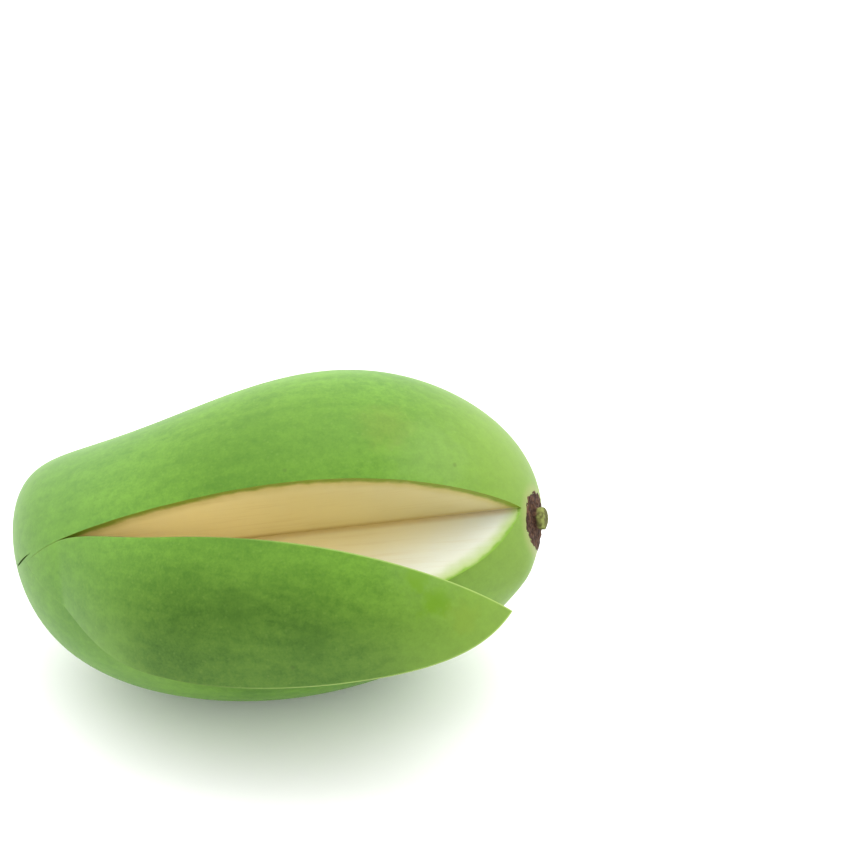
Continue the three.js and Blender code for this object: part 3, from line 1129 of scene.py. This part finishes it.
ring_points = np.stack([east, north, height], -1)
stub_middle = [STUB_ASIDE * upwards.x, STUB_ASIDE * upwards.y, STUB_HEIGHT - PITH_DEPTH]
under = ring_points[-1] * [TUCK["in"], TUCK["in"], 1] - [0, 0, TUCK["down"]]
root = [0, 0, -TUCK["root"]]
vertices = np.concatenate([ring_points[1:].reshape(-1, 3), under, [stub_middle, root]])
faces = []
top_index, bottom_index = len(vertices) - 2, len(vertices) - 1
for i in range(RINGS - 1):
    for j in range(SPOKES):
        k = (j + 1) % SPOKES
        faces.append((i * SPOKES + j, (i + 1) * SPOKES + j, (i + 1) * SPOKES + k, i * SPOKES + k))
for j in range(SPOKES):
    k = (j + 1) % SPOKES
    faces.append((top_index, j, k))
    faces.append((bottom_index, (RINGS - 1) * SPOKES + k, (RINGS - 1) * SPOKES + j))
scar_mesh = bpy.data.meshes.new("stalk_scar")
scar_mesh.from_pydata(vertices.tolist(), [], faces)
on_rings = np.broadcast_to(share, radius.shape)[1:].ravel()
from_middle = np.concatenate([on_rings, np.full(SPOKES, PAST_RIM), [0.0, PAST_RIM]])
write_attribute(scar_mesh, "from_middle", from_middle)
scar_mesh.transform(stalk_frame)
scar = outward(link("stalk_scar", scar_mesh))
print("scar", len(scar.data.polygons), "faces")

# %% [markdown]
# ## Flakes of cork
#
# Old cork lifts in small flakes. There are too many to place by hand, so a Geometry Nodes tree
# scatters flat grains over the scar, each turned to lie on it, with their size and number as
# inputs. The seed is fixed, so they fall in the same places each time.

# %% A tree that scatters flakes
CORK_FLAKES = {"Flakes to a square metre": 1.5e6, "Flake radius": 0.34 * MM}
FLAKE_SEED = 11
FLAKES_FROM = STUB_SHARE + 0.06
FLAKES_TO = 0.98
FLAKE_SPREAD = {"Min": (0.5, 0.5, 0.15), "Max": (1.5, 1.0, 0.35)}


def flake_tree(material):
    tree = bpy.data.node_groups.new("cork flakes", "GeometryNodeTree")
    face = tree.interface
    face.new_socket("Scar", in_out="INPUT", socket_type="NodeSocketGeometry")
    for name in CORK_FLAKES:
        face.new_socket(name, in_out="INPUT", socket_type="NodeSocketFloat")
    face.new_socket("Seed", in_out="INPUT", socket_type="NodeSocketInt")
    face.new_socket("Scar with flakes", in_out="OUTPUT", socket_type="NodeSocketGeometry")
    given = add_node(tree, "NodeGroupInput")
    place = add_node(tree, "GeometryNodeInputNamedAttribute", {"Name": "from_middle"}).outputs[0]
    past_stub = calculate(tree, "GREATER_THAN", place, FLAKES_FROM)
    before_rim = calculate(tree, "LESS_THAN", place, FLAKES_TO)
    on_cork = calculate(tree, "MULTIPLY", past_stub, before_rim)
    scatter = {
        "Mesh": given.outputs["Scar"], "Selection": on_cork, "Seed": given.outputs["Seed"],
        "Density": given.outputs["Flakes to a square metre"],
    }
    spots = add_node(tree, "GeometryNodeDistributePointsOnFaces", scatter)
    grain = {"Radius": given.outputs["Flake radius"], "Subdivisions": 2}
    flake = add_node(tree, "GeometryNodeMeshIcoSphere", grain)
    spread = {**FLAKE_SPREAD, "Seed": given.outputs["Seed"]}
    sizes = add_node(tree, "FunctionNodeRandomValue", spread, data_type="FLOAT_VECTOR").outputs[0]
    placed = {
        "Points": spots.outputs["Points"], "Instance": flake.outputs[0],
        "Rotation": spots.outputs["Rotation"], "Scale": sizes,
    }
    flakes = add_node(tree, "GeometryNodeInstanceOnPoints", placed)
    both = add_node(tree, "GeometryNodeJoinGeometry")
    tree.links.new(flakes.outputs[0], both.inputs[0])
    tree.links.new(given.outputs["Scar"], both.inputs[0])
    return end_tree(tree, both.outputs[0], material)


# %% [markdown]
# ## Scatter them
#
# A modifier's inputs are set by the identifier of each socket, not by its name, so the names are
# looked up in the tree first.

# %% Scatter the flakes
cork_material = bpy.data.materials.new("stalk_cork")
flakes = scar.modifiers.new("flakes", "NODES")
flakes.node_group = flake_tree(cork_material)
values = {**CORK_FLAKES, "Seed": FLAKE_SEED}
for socket in flakes.node_group.interface.items_tree:
    if socket.name in values:
        flakes[socket.identifier] = values[socket.name]
apply_modifiers(scar)
smooth_all(scar.data)
print("scar with flakes", len(scar.data.polygons), "faces")

# %% [markdown]
# ## Cork and dry wood
#
# The cork is a dark brown with paler flakes. The stub is dry and olive-green, with brown in its
# cracks and in its pith. One material does both, because they run into each other: the
# from_middle attribute says how far out from the middle of the stub a point is. The cork climbs
# halfway up the stub's wall, as bark does round a twig.

# %% Paint the scar
CORK_DARK = paint(56, 36, 26)
CORK_PALE = paint(104, 74, 54)
STUB_YELLOW = paint(134, 142, 74)
STUB_BROWN = paint(88, 88, 46)
# Each pattern: clouds to a metre, detail and roughness.
CORK_PATTERN = (650.0, 4.0, 0.6)
STUB_PATTERN = (500.0, 3.0, 0.5)
CORK_FADES = {
    "cork": (0.38, 0.72, 0.0, 1.0),
    "stub": (0.4, 0.65, 0.0, 1.0),
    "pith": (0.05, 0.13, 0.85, 0.0),
    "up the wall": (STUB_SHARE - 0.09, STUB_SHARE - 0.035, 0.0, 1.0),
}
CORK_BUMP = {"Strength": 0.35, "Distance": 0.3 * MM}
CORK_SURFACE = {"Roughness": 0.85, "Specular IOR Level": 0.25}


def paint_cork(material):
    tree = clear_tree(material)
    place = add_node(tree, "ShaderNodeTexCoord").outputs["Object"]
    from_middle = attribute_socket(tree, "from_middle")

    flakes = noise(tree, place, *CORK_PATTERN)
    cork = blend(tree, ease(tree, flakes, *CORK_FADES["cork"]), CORK_DARK, CORK_PALE)
    grain = noise(tree, place, *STUB_PATTERN)
    stub = blend(tree, ease(tree, grain, *CORK_FADES["stub"]), STUB_BROWN, STUB_YELLOW)
    stub = blend(tree, ease(tree, from_middle, *CORK_FADES["pith"]), stub, STUB_BROWN)
    colour = blend(tree, ease(tree, from_middle, *CORK_FADES["up the wall"]), stub, cork)
    finish_material(tree, colour, CORK_SURFACE, {**CORK_BUMP, "Height": flakes})


paint_cork(cork_material)

# %% [markdown]
# ## Hand the pieces over
#
# The three pieces stand for the three solids of the model and ride on its one body.

# %% Fasten the pieces to the frame
for piece, node, slot in (
    (body, "mango_body", "skin"),
    (slice_piece, "cut_slice", "skin"),
    (scar, "stem_stub", "stalk"),
):
    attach(piece, "root")
    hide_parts(node)
